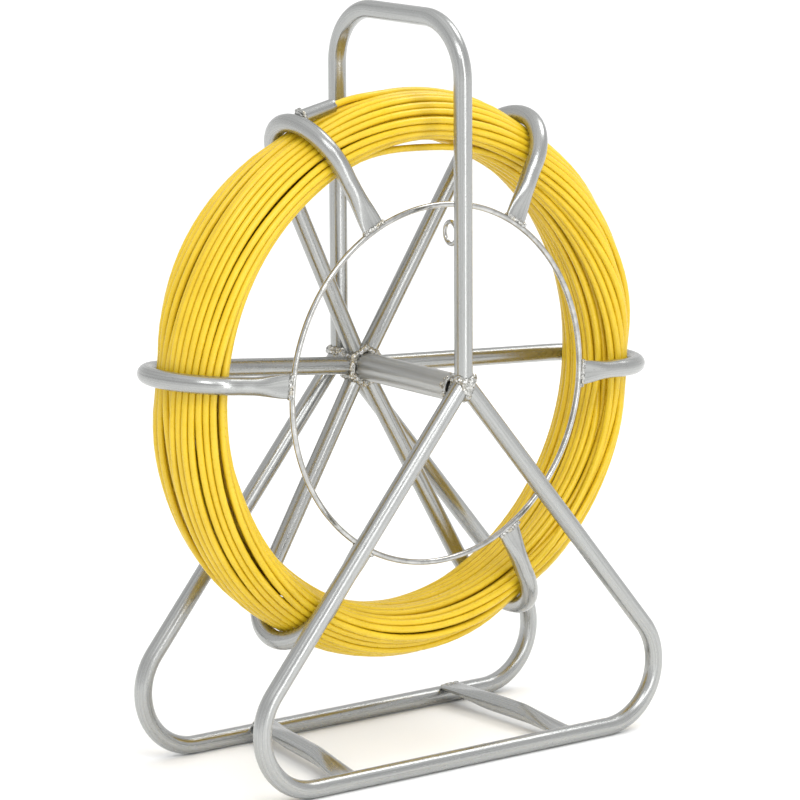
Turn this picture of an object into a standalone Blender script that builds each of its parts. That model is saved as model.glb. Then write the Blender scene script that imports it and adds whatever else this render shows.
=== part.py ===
# Fish tape reel: a welded tube stand that carries a six-armed open reel of glass-fibre
# rodding.  Metres, +Z up.  X runs across the stand, Y along the reel's axle, front is -Y.
# The origin is on the floor, midway between the two side frames.
import bpy
import bmesh
from math import pi, sin, cos, tan, acos, atan2, radians, sqrt
from mathutils import Vector, noise

# ---- driving dimensions -------------------------------------------------------------
GAP = 0.0003                # clearance left between touching pieces

TUBE_R = 0.008              # 16 mm frame tube
SIDES = 14                  # facets round a bent tube
ROUND_SIDES = 24            # facets round the axle, the hub and the socket
WIRE_SIDES = 8

FRAME_Y = 0.0884            # side frame plane, either side of the middle
APEX_Z = 0.3354             # where the two legs' centre lines meet
LEG_SPREAD = 0.830          # half width gained per unit of height lost
FRAME_BEND_R = 0.053

HANDLE_Z = 0.640            # centre line of the grip
HANDLE_FOOT_Z = 0.3350
HANDLE_BEND_R = 0.050

AXIS_Z = 0.3286             # height of the reel's axis
AXLE_R = 0.008
AXLE_HALF = 0.0800
HUB_R = 0.012
HUB_BORE_R = 0.0098
HUB_HALF = 0.0775           # the hub fills the stand, with a little end play

SPOKE_HUB_Y = 0.0569        # rear spokes, at the hub
SPOKE_BEND_Y = 0.0510       # and where the bend starts
SPOKE_ROOT_WIDTH = 0.0126   # pinched, so that six of them fit round the hub
SPOKE_ROOT_LENGTH = 0.0042
BEND_START_R = 0.2036       # distance from the axis to the bend's centre
ARM_FRONT_Y = -0.0461       # front leg, where the bend ends
BEND_Y = (SPOKE_BEND_Y + ARM_FRONT_Y) / 2
BEND_R = (SPOKE_BEND_Y - ARM_FRONT_Y) / 2
BLADE_Y = -0.0540           # crushed front end
BLADE_WIDTH = 0.0210
BLADE_THICK = 0.0046
BLADE_LENGTH = 0.036

RING_R = 0.1538
RING_WIRE_R = 0.0025
RING_Y = -0.0545

WORLD_AXES = (Vector((1, 0, 0)), Vector((0, 1, 0)), Vector((0, 0, 1)))
LUMPS_PER_METRE = 260       # of a weld bead's surface

# arm directions round the axis, degrees from +X toward +Z
ARM_ANGLES = {
    "arm_right": -3.3,
    "arm_upper_right": 58.1,
    "arm_upper_left": 116.0,
    "arm_left": 174.0,
    "arm_lower_left": 238.3,
    "arm_lower_right": 298.9,
}

CROSSBAR_Z = 0.0140
CROSSBAR_FRONT_Z = 0.0100   # the front tips stay low behind their bottom bar
CROSSBAR_REAR_Z = 0.0160    # and the rear tips ride up on theirs
CROSSBAR_FRONT_Y = -0.0799
CROSSBAR_REAR_Y = 0.0827
CROSSBAR_WIDTH = 0.0230     # of the crushed tips
CROSSBAR_THICK = 0.0040
CROSSBAR_CRUSH = 0.062      # length over which the tube turns flat
CROSSBAR_X = {"left": (-0.1200, -0.0905), "right": (0.1155, 0.1175)}     # front, rear

EYE_WIRE_R = 0.0019
EYE_R = 0.0095
EYE_Z = 0.4600
EYE_TURN = radians(5.7)

SOCKET_R = 0.0060           # short tube that holds the rodding's free end
SOCKET_BORE_R = 0.0045
SOCKET_LENGTH = 0.034
SOCKET_AXIS_R = 0.2528
SOCKET_Y = 0.0
SOCKET_LEAN = 0.25          # inward, per unit of length

ROD_R = 0.0030
ROD_IN_SOCKET = 0.030       # length of rodding held in the socket
COIL_R = 0.0378             # the coil's rounded outer side lies in the arms' bends
COIL_INNER_R = 0.1995       # its inner side's distance from the axis
COIL_FRONT_SHOULDER_R = 0.2070
COIL_REAR_SHOULDER_R = 0.2130
COIL_STEPS = 64             # facets round the coil
TAIL_MEETS_COIL_ANGLE = 93.0
TAIL_END_ANGLE = 74.0
TAIL_END_Y = 0.0064


# ---- materials ----------------------------------------------------------------------
def material(name, colour, metallic, roughness):
    m = bpy.data.materials.new(name)
    m.use_nodes = True
    p = m.node_tree.nodes["Principled BSDF"]
    p.inputs["Base Color"].default_value = (*colour, 1)
    p.inputs["Metallic"].default_value = metallic
    p.inputs["Roughness"].default_value = roughness
    return m


# ---- mesh helpers -------------------------------------------------------------------
def finish_mesh(name, bm):
    """Turn a bmesh into a mesh, smooth but for its end caps."""
    bmesh.ops.recalc_face_normals(bm, faces=bm.faces)
    mesh = bpy.data.meshes.new(name)
    bm.to_mesh(mesh)
    bm.free()
    for poly in mesh.polygons:
        poly.use_smooth = len(poly.vertices) <= 4
    return mesh


def add_object(name, mesh, mat, origin=(0, 0, 0)):
    o = bpy.data.objects.new(name, mesh)
    origin = Vector(origin)
    for v in mesh.vertices:
        v.co -= origin
    o.location = origin
    mesh.materials.append(mat)
    bpy.context.scene.collection.objects.link(o)


def smoothstep(f):
    return f * f * (3 - 2 * f)


def section(wide, thick, power=2.0, sides=SIDES):
    """Points of one cross-section, from an ellipse (power 2) to a rounded slab (4)."""
    pts = []
    for i in range(sides):
        t = 2 * pi * (i + 0.5) / sides
        c, s = cos(t), sin(t)
        x = wide * (abs(c) ** (2 / power)) * (1 if c > 0 else -1)
        y = thick * (abs(s) ** (2 / power)) * (1 if s > 0 else -1)
        pts.append((x, y))
    return pts


def crushed_section(share, wide, thick, grow):
    """Section of a tube that is crushed part of the way, from round (0) to flat (1)."""
    half_wide = TUBE_R + (wide / 2 - TUBE_R) * share
    half_thick = TUBE_R + (thick / 2 - TUBE_R) * share
    return section(half_wide + grow, half_thick + grow, 2 + 2 * share ** 2)


def sweep(bm, path, normal, sections, closed=False):
    """Sweep sections along a flat path.  normal is the path's plane normal; a section's
    first axis lies along it and its second in the plane."""
    n = Vector(normal).normalized()
    pts = [Vector(p) for p in path]
    count = len(pts)
    rings = []
    for i, p in enumerate(pts):
        if closed:
            t = pts[(i + 1) % count] - pts[i - 1]
        elif i == 0:
            t = pts[1] - pts[0]
        elif i == count - 1:
            t = pts[-1] - pts[-2]
        else:
            t = (pts[i + 1] - p).normalized() + (p - pts[i - 1]).normalized()
        side = t.normalized().cross(n)
        stretch = 1.0
        if 0 < i < count - 1 and not closed:
            bend = (pts[i + 1] - p).normalized().dot((p - pts[i - 1]).normalized())
            stretch = 1 / sqrt(max(0.3, (1 + bend) / 2))
        rings.append([bm.verts.new(p + n * a + side * b * stretch) for a, b in sections[i]])
    last = count if closed else count - 1
    for i in range(last):
        a = rings[i]
        b = rings[(i + 1) % count]
        for k in range(len(a)):
            m = (k + 1) % len(a)
            bm.faces.new((a[k], a[m], b[m], b[k]))
    if not closed:
        bm.faces.new(rings[0])
        bm.faces.new(rings[-1])
    return rings


def crop(ring, inner, axis, value):
    """Slide a tube's end ring along the tube until it lies in one plane."""
    for v, w in zip(ring, inner):
        along = v.co - w.co
        v.co = w.co + along * ((value - w.co[axis]) / along[axis])


def arc(centre, radius, a0, a1, steps):
    """Flat arc as (u, v) pairs, angles in radians."""
    out = []
    for i in range(steps + 1):
        a = a0 + (a1 - a0) * i / steps
        out.append((centre[0] + radius * cos(a), centre[1] + radius * sin(a)))
    return out


def cylinder_mesh(name, a, b, radius, bore=0.0):
    """Closed cylinder, or a pipe when bore is given, from a to b."""
    bm = bmesh.new()
    sides = ROUND_SIDES
    a, b = Vector(a), Vector(b)
    w = (b - a).normalized()
    u = w.orthogonal().normalized()
    v = w.cross(u)
    rings = []
    for p, r in ((a, radius), (b, radius), (b, bore), (a, bore)):
        if r <= 0:
            continue
        rings.append([
            bm.verts.new(p + (u * cos(2 * pi * i / sides) + v * sin(2 * pi * i / sides)) * r)
            for i in range(sides)
        ])
    if bore > 0:
        for j in range(4):
            p, q = rings[j], rings[(j + 1) % 4]
            for i in range(sides):
                k = (i + 1) % sides
                bm.faces.new((p[i], p[k], q[k], q[i]))
    else:
        for i in range(sides):
            k = (i + 1) % sides
            bm.faces.new((rings[0][i], rings[0][k], rings[1][k], rings[1][i]))
        bm.faces.new(rings[0])
        bm.faces.new(rings[1])
    return finish_mesh(name, bm)


def turned_mesh(name, profile, steps):
    """Solid of revolution about the reel's axis; profile is a closed loop of (r, y)."""
    bm = bmesh.new()
    rings = []
    for i in range(steps):
        a = 2 * pi * i / steps
        rings.append([
            bm.verts.new((r * cos(a), y, AXIS_Z + r * sin(a))) for r, y in profile
        ])
    for i in range(steps):
        p, q = rings[i], rings[(i + 1) % steps]
        for k in range(len(profile)):
            m = (k + 1) % len(profile)
            bm.faces.new((p[k], p[m], q[m], q[k]))
    return finish_mesh(name, bm)


def blob(bm, centre, radii, axes=WORLD_AXES, seed=0.0, rough=0.0004):
    """Lumpy ellipsoid, the shape of a hand-laid weld bead."""
    for v in bmesh.ops.create_icosphere(bm, subdivisions=2, radius=1.0)["verts"]:
        p = Vector()
        for axis, radius, share in zip(axes, radii, v.co):
            p += axis * radius * share
        lump = noise.noise(p * LUMPS_PER_METRE + Vector((seed, seed * 1.7, 0)))
        v.co = Vector(centre) + p + p.normalized() * lump * rough


def cut(mesh, cutters):
    """Cut every mesh in cutters out of mesh, and return what is left."""
    work = bpy.data.objects.new("work", mesh)
    bpy.context.scene.collection.objects.link(work)
    tools = []
    for m in cutters:
        t = bpy.data.objects.new("tool", m)
        bpy.context.scene.collection.objects.link(t)
        t.hide_render = True
        t.display_type = 'WIRE'
        tools.append(t)
        mod = work.modifiers.new("cut", 'BOOLEAN')
        mod.operation = 'DIFFERENCE'
        mod.solver = 'EXACT'
        mod.object = t
    bpy.context.view_layer.update()
    graph = bpy.context.evaluated_depsgraph_get()
    out = bpy.data.meshes.new_from_object(work.evaluated_get(graph))
    bpy.data.objects.remove(work)
    for t in tools:
        bpy.data.objects.remove(t)
    return out


def largest(mesh):
    """Keep the largest closed piece of a mesh, dropping the crumbs that a cut leaves."""
    bm = bmesh.new()
    bm.from_mesh(mesh)
    bmesh.ops.remove_doubles(bm, verts=bm.verts, dist=0.00001)
    bmesh.ops.dissolve_degenerate(bm, edges=bm.edges, dist=0.00001)
    bmesh.ops.triangulate(bm, faces=bm.faces)
    seen = set()
    islands = []
    for start in bm.faces:
        if start in seen:
            continue
        island = []
        stack = [start]
        seen.add(start)
        while stack:
            f = stack.pop()
            island.append(f)
            for e in f.edges:
                for g in e.link_faces:
                    if g not in seen:
                        seen.add(g)
                        stack.append(g)
        volume = 0.0
        for f in island:
            a, b, c = (v.co for v in f.verts)
            volume += a.dot(b.cross(c)) / 6
        islands.append((abs(volume), len(islands), island))
    islands.sort(key=lambda entry: entry[:2])
    for _, _, island in islands[:-1]:
        bmesh.ops.delete(bm, geom=island, context='FACES')
    loose = [v for v in bm.verts if not v.link_faces]
    bmesh.ops.delete(bm, geom=loose, context='VERTS')
    bm.to_mesh(mesh)
    bm.free()
    for poly in mesh.polygons:
        poly.use_smooth = True
    return mesh


def bead(name, tools, origin=(0, 0, 0), **shape):
    """One weld bead: a lumpy blob with the pieces it joins cut out of it."""
    bm = bmesh.new()
    blob(bm, **shape)
    add_object(name, largest(cut(finish_mesh(name, bm), tools)), weld_steel, origin)


# ---- the tubes ----------------------------------------------------------------------
def frame_path(y):
    """Centre line of one side frame: apex, left leg, bottom bar, right leg, apex."""
    corner_x = -(APEX_Z - TUBE_R) * LEG_SPREAD
    lean = atan2(1.0, LEG_SPREAD)
    reach = FRAME_BEND_R * tan((pi - lean) / 2)
    cx = corner_x + reach
    cz = TUBE_R + FRAME_BEND_R
    left = arc((cx, cz), FRAME_BEND_R, pi / 2 + lean, 3 * pi / 2, 9)
    right = [(-x, z) for x, z in reversed(left)]
    flat = [(0, APEX_Z)] + left + right + [(0, APEX_Z)]
    return [(x, y, z) for x, z in flat]


def frame_mesh(name, y):
    bm = bmesh.new()
    path = frame_path(y)
    rings = sweep(bm, path, (0, 1, 0), [section(TUBE_R, TUBE_R)] * len(path))
    # the two ends meet under the handle
    crop(rings[0], rings[1], 0, -GAP / 2)
    crop(rings[-1], rings[-2], 0, GAP / 2)
    return finish_mesh(name, bm)


def half_frame_tool(y, side):
    """The left (-1) or right (1) half of a side frame, a little larger, to cut beads with."""
    path = frame_path(y)
    middle = len(path) // 2
    half = path[:middle] if side < 0 else path[:middle - 1:-1]
    half.append((side * 0.002, y, TUBE_R))
    bm = bmesh.new()
    rings = sweep(bm, half, (0, 1, 0), [section(TUBE_R + GAP, TUBE_R + GAP)] * len(half))
    crop(rings[0], rings[1], 0, -side * GAP)
    return finish_mesh("tool", bm)


def handle_path(foot):
    top = HANDLE_Z - HANDLE_BEND_R
    c = FRAME_Y - HANDLE_BEND_R
    a = arc((-c, top), HANDLE_BEND_R, pi, pi / 2, 7)
    b = arc((c, top), HANDLE_BEND_R, pi / 2, 0, 7)
    flat = [(-FRAME_Y, foot)] + a + b + [(FRAME_Y, foot)]
    return [(0, y, z) for y, z in flat]


def handle_mesh(name, grow=0.0):
    bm = bmesh.new()
    path = handle_path(HANDLE_FOOT_Z - grow)
    sweep(bm, path, (1, 0, 0), [section(TUBE_R + grow, TUBE_R + grow)] * len(path))
    return finish_mesh(name, bm)


def arm_frame(angle):
    a = radians(angle)
    radial = Vector((cos(a), 0, sin(a)))
    tangent = Vector((-sin(a), 0, cos(a)))
    return radial, tangent


def arm_stations(grow):
    """An arm's centre line as (distance from the axis, y), each with its section."""
    root = HUB_R + GAP
    tip = RING_R + RING_WIRE_R + GAP
    tube = section(TUBE_R + grow, TUBE_R + grow)
    stations = [
        ((root, SPOKE_HUB_Y), section(SPOKE_ROOT_WIDTH / 2 + grow, TUBE_R + grow)),
        ((root + SPOKE_ROOT_LENGTH, SPOKE_HUB_Y), tube),
    ]
    for point in arc((BEND_START_R, BEND_Y), BEND_R, pi / 2, -pi / 2, 11):
        stations.append((point, tube))
    for part in (0.35, 0.7, 1.0):
        r = tip + BLADE_LENGTH * (1 - part)
        y = ARM_FRONT_Y + (BLADE_Y - ARM_FRONT_Y) * (BEND_START_R - r) / (BEND_START_R - tip)
        if part == 1.0:
            r -= grow
        shape = crushed_section(smoothstep(part), BLADE_WIDTH, BLADE_THICK, grow)
        stations.append(((r, y), shape))
    return stations


def arm_mesh(name, angle, grow=0.0):
    radial, tangent = arm_frame(angle)
    stations = arm_stations(grow)
    path = [radial * r + Vector((0, y, AXIS_Z)) for (r, y), _ in stations]
    bm = bmesh.new()
    sweep(bm, path, tangent, [shape for _, shape in stations])
    return finish_mesh(name, bm)


def crossbar_mesh(name, side, grow=0.0):
    """Tube between the bottom bars, crushed flat at both tips and cropped square to them."""
    front_x, rear_x = CROSSBAR_X[side]
    front_y = CROSSBAR_FRONT_Y - grow
    rear_y = CROSSBAR_REAR_Y + grow
    a = Vector((front_x, front_y, 0))
    b = Vector((rear_x, rear_y, 0))
    along = (b - a).normalized()
    path = []
    shapes = []
    for start, inward, tip_z in ((a, along, CROSSBAR_FRONT_Z), (b, -along, CROSSBAR_REAR_Z)):
        half = []
        for part in (0.0, 0.22, 0.45, 0.7, 1.0):
            share = 1 - smoothstep(part)
            z = CROSSBAR_Z + (tip_z - CROSSBAR_Z) * share
            shape = crushed_section(share, CROSSBAR_WIDTH, CROSSBAR_THICK, grow)
            half.append((start + inward * part * CROSSBAR_CRUSH + Vector((0, 0, z)), shape))
        if inward is not along:
            half.reverse()
        path += [point for point, _ in half]
        shapes += [shape for _, shape in half]
    bm = bmesh.new()
    rings = sweep(bm, path, along.cross(Vector((0, 0, 1))), shapes)
    crop(rings[0], rings[1], 1, front_y)
    crop(rings[-1], rings[-2], 1, rear_y)
    return finish_mesh(name, bm)


def ring_mesh(name, grow=0.0):
    profile = arc((RING_R, RING_Y), RING_WIRE_R + grow, 0, 2 * pi, WIRE_SIDES)[:-1]
    return turned_mesh(name, profile, 72)


def eye_centre():
    reach = TUBE_R + GAP + EYE_R + EYE_WIRE_R
    return Vector((reach * sin(EYE_TURN), -FRAME_Y + reach * cos(EYE_TURN), EYE_Z))


def eye_mesh(name, grow=0.0):
    out = Vector((sin(EYE_TURN), cos(EYE_TURN), 0))
    up = Vector((0, 0, 1))
    circle = arc((0, 0), EYE_R, 0, 2 * pi, 24)[:-1]
    path = [eye_centre() + out * u + up * v for u, v in circle]
    wire = section(EYE_WIRE_R + grow, EYE_WIRE_R + grow, sides=WIRE_SIDES)
    bm = bmesh.new()
    sweep(bm, path, out.cross(up), [wire] * len(path), closed=True)
    return finish_mesh(name, bm)


def socket_line():
    """Butt end of the rod end socket, against its arm, and its direction to the mouth."""
    radial, tangent = arm_frame(ARM_ANGLES["arm_upper_left"])
    stand_off = TUBE_R + GAP + SOCKET_R * SOCKET_LEAN
    butt = radial * SOCKET_AXIS_R - tangent * stand_off + Vector((0, SOCKET_Y, AXIS_Z))
    return butt, (-tangent - radial * SOCKET_LEAN).normalized()


def axle_mesh(name, grow=0.0):
    h = AXLE_HALF + grow
    return cylinder_mesh(name, (0, -h, AXIS_Z), (0, h, AXIS_Z), AXLE_R + grow)


def collar_mesh(name, inner_r, rise, base_y, crest_y, end_y):
    """Weld bead laid round a shaft, with a flat back and a sloping front."""
    profile = [
        (inner_r + GAP, base_y),
        (inner_r + rise, base_y),
        (inner_r + rise * 0.76, crest_y),
        (inner_r + GAP, end_y),
    ]
    return turned_mesh(name, profile, ROUND_SIDES)


def coil_profile():
    """The coil's section as (distance from the axis, y): an arc that lies in the arms'
    bends, closed by two quarter ellipses on the side that faces the axis."""
    front = acos((COIL_FRONT_SHOULDER_R - BEND_START_R) / COIL_R)
    rear = acos((COIL_REAR_SHOULDER_R - BEND_START_R) / COIL_R)
    profile = arc((BEND_START_R, BEND_Y), COIL_R, -front, rear, 10)
    for shoulder, turn, parts in (
        (COIL_REAR_SHOULDER_R, rear, (0.3, 0.6, 0.8, 1.0)),
        (COIL_FRONT_SHOULDER_R, -front, (0.8, 0.6, 0.3)),
    ):
        for part in parts:
            a = part * pi / 2
            r = shoulder - (shoulder - COIL_INNER_R) * sin(a)
            profile.append((r, BEND_Y + COIL_R * sin(turn) * cos(a)))
    return profile


def tail_route():
    """The rodding's free end, from inside the socket to where it joins the coil."""
    butt, lean = socket_line()
    mouth = butt + lean * SOCKET_LENGTH
    bend_start = mouth + lean * 0.004
    points = [mouth - lean * ROD_IN_SOCKET, mouth, bend_start]
    start_angle = atan2(bend_start.z - AXIS_Z, bend_start.x)
    start_r = sqrt(bend_start.x ** 2 + (bend_start.z - AXIS_Z) ** 2)
    end_r = BEND_START_R + COIL_R + GAP + ROD_R
    meets = (start_angle - radians(TAIL_MEETS_COIL_ANGLE)) / (start_angle - radians(TAIL_END_ANGLE))
    steps = 16
    for i in range(1, steps + 1):
        f = i / steps
        a = start_angle + (radians(TAIL_END_ANGLE) - start_angle) * f
        r = start_r + (end_r - start_r) * smoothstep(min(1.0, f / meets))
        y = SOCKET_Y + (TAIL_END_Y - SOCKET_Y) * smoothstep(f)
        points.append(Vector((r * cos(a), y, AXIS_Z + r * sin(a))))
    return points


# ---- build --------------------------------------------------------------------------
for o in list(bpy.data.objects):
    bpy.data.objects.remove(o)

steel_frame = material("frame_silver_paint", (0.62, 0.62, 0.61), 0.85, 0.38)
steel_reel = material("reel_silver_paint", (0.60, 0.60, 0.59), 0.85, 0.36)
steel_wire = material("bright_wire", (0.78, 0.78, 0.78), 0.95, 0.25)
weld_steel = material("weld_bead", (0.66, 0.65, 0.62), 0.9, 0.30)
rod_yellow = material("yellow_sheath", (0.86, 0.60, 0.04), 0.0, 0.38)

axis_point = (0, 0, AXIS_Z)

# stand: two side frames, each one bent tube coped round the foot of the handle
for name, y in (("front_side_frame", -FRAME_Y), ("rear_side_frame", FRAME_Y)):
    cope = cylinder_mesh(
        "cope", (0, y, HANDLE_FOOT_Z - GAP), (0, y, APEX_Z + 4 * TUBE_R), TUBE_R + GAP
    )
    add_object(name, largest(cut(frame_mesh(name, y), [cope])), steel_frame)

add_object("carry_handle", handle_mesh("carry_handle"), steel_frame)
for side in CROSSBAR_X:
    name = side + "_crossbar"
    add_object(name, crossbar_mesh(name, side), steel_frame)
add_object("axle", axle_mesh("axle"), steel_frame)
add_object("guide_eye", eye_mesh("guide_eye"), steel_wire)

# stand: welds
for name, sign in (("front_apex_weld", -1), ("rear_apex_weld", 1)):
    y = sign * FRAME_Y
    # the bead stops short of the hub's end
    face = y - sign * (TUBE_R + GAP)
    clear = cylinder_mesh("tool", (0, face, AXIS_Z), (0, face - sign * TUBE_R, AXIS_Z), 0.02)
    tools = [half_frame_tool(y, -1), half_frame_tool(y, 1)]
    tools += [handle_mesh("tool", GAP), axle_mesh("tool", GAP), clear]
    bead(name, tools, centre=(0, y, APEX_Z - 0.0039), radii=(0.0122, 0.0106, 0.0118),
         seed=y * 33, rough=0.0009)

for name, sign in (("front_axle_weld", -1), ("rear_axle_weld", 1)):
    ys = [sign * (AXLE_HALF - depth) for depth in (0.0001, 0.0014, 0.0022)]
    add_object(name, collar_mesh(name, AXLE_R, 0.0036, *ys), weld_steel)

for side, (front_x, rear_x) in CROSSBAR_X.items():
    turn = -1 if side == "left" else 1
    for end, sign, spot in (
        ("front", -1, (front_x, CROSSBAR_FRONT_Y - 0.0011, CROSSBAR_FRONT_Z + 0.0025)),
        ("rear", 1, (rear_x, CROSSBAR_REAR_Y + 0.0011, CROSSBAR_REAR_Z + 0.0018)),
    ):
        tools = [half_frame_tool(sign * FRAME_Y, turn), crossbar_mesh("tool", side, GAP)]
        bead(side + "_crossbar_" + end + "_weld", tools,
             centre=spot, radii=(0.0095, 0.0032, 0.0030), seed=spot[0] * 90)

reach = TUBE_R + 2 * GAP
spot = Vector((sin(EYE_TURN) * reach, cos(EYE_TURN) * reach - FRAME_Y, EYE_Z))
bead("eye_weld", [handle_mesh("tool", GAP), eye_mesh("tool", GAP)],
     centre=spot, radii=(0.0042, 0.0026, 0.0052), seed=7.7, rough=0.0003)

# reel
hub = cylinder_mesh("hub_tube", (0, -HUB_HALF, AXIS_Z), (0, HUB_HALF, AXIS_Z), HUB_R, HUB_BORE_R)
add_object("hub_tube", hub, steel_reel, axis_point)

for name, angle in ARM_ANGLES.items():
    add_object(name, arm_mesh(name, angle), steel_reel, axis_point)

add_object("front_ring", ring_mesh("front_ring"), steel_wire, axis_point)

butt, lean = socket_line()
mouth = butt + lean * SOCKET_LENGTH
socket = cylinder_mesh("rod_end_socket", mouth, butt, SOCKET_R, SOCKET_BORE_R)
add_object("rod_end_socket", socket, steel_reel, axis_point)

# reel: welds, with a collar of bead on either side of the spokes' roots
for name, sign in (("front_hub_weld", -1), ("rear_hub_weld", 1)):
    ys = [SPOKE_HUB_Y + sign * (TUBE_R + depth) for depth in (GAP, 0.0023, 0.0049)]
    add_object(name, collar_mesh(name, HUB_R, 0.0048, *ys), weld_steel, axis_point)

for k, (arm, angle) in enumerate(ARM_ANGLES.items()):
    radial, tangent = arm_frame(angle)
    spot = radial * (RING_R + RING_WIRE_R + 2 * GAP) + Vector((0, RING_Y + GAP, AXIS_Z))
    bead("ring_weld" + arm[3:], [ring_mesh("tool", GAP), arm_mesh("tool", angle, GAP)],
         axis_point, centre=spot, radii=(0.0031, 0.0042, 0.0125),
         axes=(radial, WORLD_AXES[1], tangent), seed=k * 3.3, rough=0.0005)

upper_left = ARM_ANGLES["arm_upper_left"]
radial, tangent = arm_frame(upper_left)
plug = cylinder_mesh("tool", mouth, butt - lean * 0.004, SOCKET_R + GAP)
bead("socket_weld", [plug, arm_mesh("tool", upper_left, GAP)], axis_point,
     centre=butt, radii=(0.0082, 0.0082, 0.0030),
     axes=(radial, WORLD_AXES[1], tangent), seed=5.1, rough=0.0003)

# the rodding: one turned ring for the coil, and its free end up to the socket
add_object("rod_coil", turned_mesh("rod_coil", coil_profile(), COIL_STEPS), rod_yellow, axis_point)

curve = bpy.data.curves.new("rod_tail", 'CURVE')
curve.dimensions = '3D'
curve.bevel_depth = ROD_R
curve.bevel_resolution = 2
curve.use_fill_caps = True
route = tail_route()
spline = curve.splines.new('POLY')
spline.points.add(len(route) - 1)
for point, place in zip(spline.points, route):
    point.co = (*(place - Vector(axis_point)), 1)
curve.materials.append(rod_yellow)
tail = bpy.data.objects.new("rod_tail", curve)
tail.location = axis_point
bpy.context.scene.collection.objects.link(tail)
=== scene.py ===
# Looks of the fish tape reel: camera, rodding, tubes, welds, paint and studio.
# Metres, +Z up, in the CAD model's own frame.  Front is -Y.
from math import pi, sin, cos, tan, atan2, radians, sqrt, hypot

import bmesh
import bpy
import numpy as np
from mathutils import Matrix, Vector, noise


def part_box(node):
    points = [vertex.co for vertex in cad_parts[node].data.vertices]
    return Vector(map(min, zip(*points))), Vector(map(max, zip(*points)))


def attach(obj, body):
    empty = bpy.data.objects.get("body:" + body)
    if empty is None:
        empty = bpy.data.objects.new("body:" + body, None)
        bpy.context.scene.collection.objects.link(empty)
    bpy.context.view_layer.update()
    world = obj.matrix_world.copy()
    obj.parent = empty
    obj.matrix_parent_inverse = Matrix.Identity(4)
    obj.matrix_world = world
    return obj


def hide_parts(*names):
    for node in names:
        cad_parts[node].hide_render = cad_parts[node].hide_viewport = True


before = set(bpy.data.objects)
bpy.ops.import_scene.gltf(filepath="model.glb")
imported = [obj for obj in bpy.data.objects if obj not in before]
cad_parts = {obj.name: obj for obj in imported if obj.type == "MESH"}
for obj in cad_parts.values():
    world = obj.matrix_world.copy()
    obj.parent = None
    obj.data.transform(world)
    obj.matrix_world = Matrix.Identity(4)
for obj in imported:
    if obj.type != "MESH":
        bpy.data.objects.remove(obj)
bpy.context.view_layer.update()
collection = bpy.context.scene.collection

# ---- sizes taken from the frame -----------------------------------------------------
axle_low, axle_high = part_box("axle")
rear_low, rear_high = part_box("rear_side_frame")
handle_low, handle_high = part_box("carry_handle")
hub_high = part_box("hub_tube")[1]
coil_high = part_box("rod_coil")[1]

POLYGON_TO_CIRCLE = 1.004   # a CAD tube's flats lie inside the round tube they stand for
AXIS_Z = (axle_low.z + axle_high.z) / 2
AXIS = Vector((0, 0, AXIS_Z))
FRAME_Y = (rear_low.y + rear_high.y) / 2
TUBE_R = (handle_high.x - handle_low.x) / 2 * POLYGON_TO_CIRCLE
HANDLE_Z = handle_high.z - TUBE_R
HUB_HALF = hub_high.y
AXLE_HALF = axle_high.y

GAP = 0.0003                # left between pieces that meet
APEX_Z = 0.3354             # where the two legs' centre lines meet
LEG_SPREAD = 0.830          # half width gained per unit of height lost
LEG_LEAN = atan2(1.0, LEG_SPREAD)
FRAME_BEND_R = 0.053
HANDLE_FOOT_Z = 0.3350
HANDLE_BEND_R = 0.050

HUB_R = 0.012
HUB_BORE_R = 0.0098
AXLE_R = 0.008
CHAMFER = 0.0006            # of the hub's and the axle's ends

SPOKE_HUB_Y = 0.0569        # rear spokes, at the hub
SPOKE_BEND_Y = 0.0510       # and where the bend starts
BEND_START_R = 0.2036
ARM_FRONT_Y = -0.0461       # front leg, where the bend ends
BLADE_Y = -0.0540           # flattened front end
BLADE_WIDTH = 0.0210
BLADE_THICK = 0.0046
BLADE_LENGTH = 0.036
PINCH = 0.22                # of a spoke's width, lost at the hub
PINCH_END_R = 0.0175

RING_R = 0.1538
RING_WIRE_R = 0.0025
RING_Y = -0.0545

ARM_ANGLES = {
    "right": -3.3,
    "upper_right": 58.1,
    "upper_left": 116.0,
    "left": 174.0,
    "lower_left": 238.3,
    "lower_right": 298.9,
}

CROSSBAR_Z = 0.0140
CROSSBAR_WIDTH = 0.0230     # of the crushed tips
CROSSBAR_THICK = 0.0040
CROSSBAR_CRUSH = 0.062      # length over which the tube turns flat
CROSSBAR_FRONT = (-0.0799, 0.0100)       # y and height of the front tips
CROSSBAR_REAR = (0.0827, 0.0160)
CROSSBAR_X = {"left": (-0.1200, -0.0905), "right": (0.1155, 0.1175)}   # front end, rear end

EYE_WIRE_R = 0.0019
EYE_R = 0.0095
EYE_Z = 0.4600
EYE_TURN = radians(5.7)

SOCKET_R = 0.0060
SOCKET_BORE_R = 0.0045
SOCKET_LENGTH = 0.034
SOCKET_AXIS_R = 0.2528
SOCKET_Y = 0.0
SOCKET_LEAN = 0.25          # inward, per unit of length

ROD_R = 0.0030
ROD_LENGTH = 60.0
ROD_IN_SOCKET = 0.030
TAIL_STRAIGHT = 0.004       # beyond the socket's mouth
BEND_Y = (SPOKE_BEND_Y + ARM_FRONT_Y) / 2
BEND_R = (SPOKE_BEND_Y - ARM_FRONT_Y) / 2
COIL_TOP_R = coil_high.x
TAIL_MEETS_COIL_ANGLE = 93.0
TAIL_END_ANGLE = 74.0
TAIL_END_Y = 0.0064


# ---- camera -------------------------------------------------------------------------
CAMERA_PLACE = (-2.250867, -2.981934, 1.040476)
CAMERA_TURN = (radians(-37.039), radians(11.118), radians(-0.321))   # azimuth, elevation, roll
LENS = 199.08               # millimetres, on a 36 mm sensor


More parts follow.
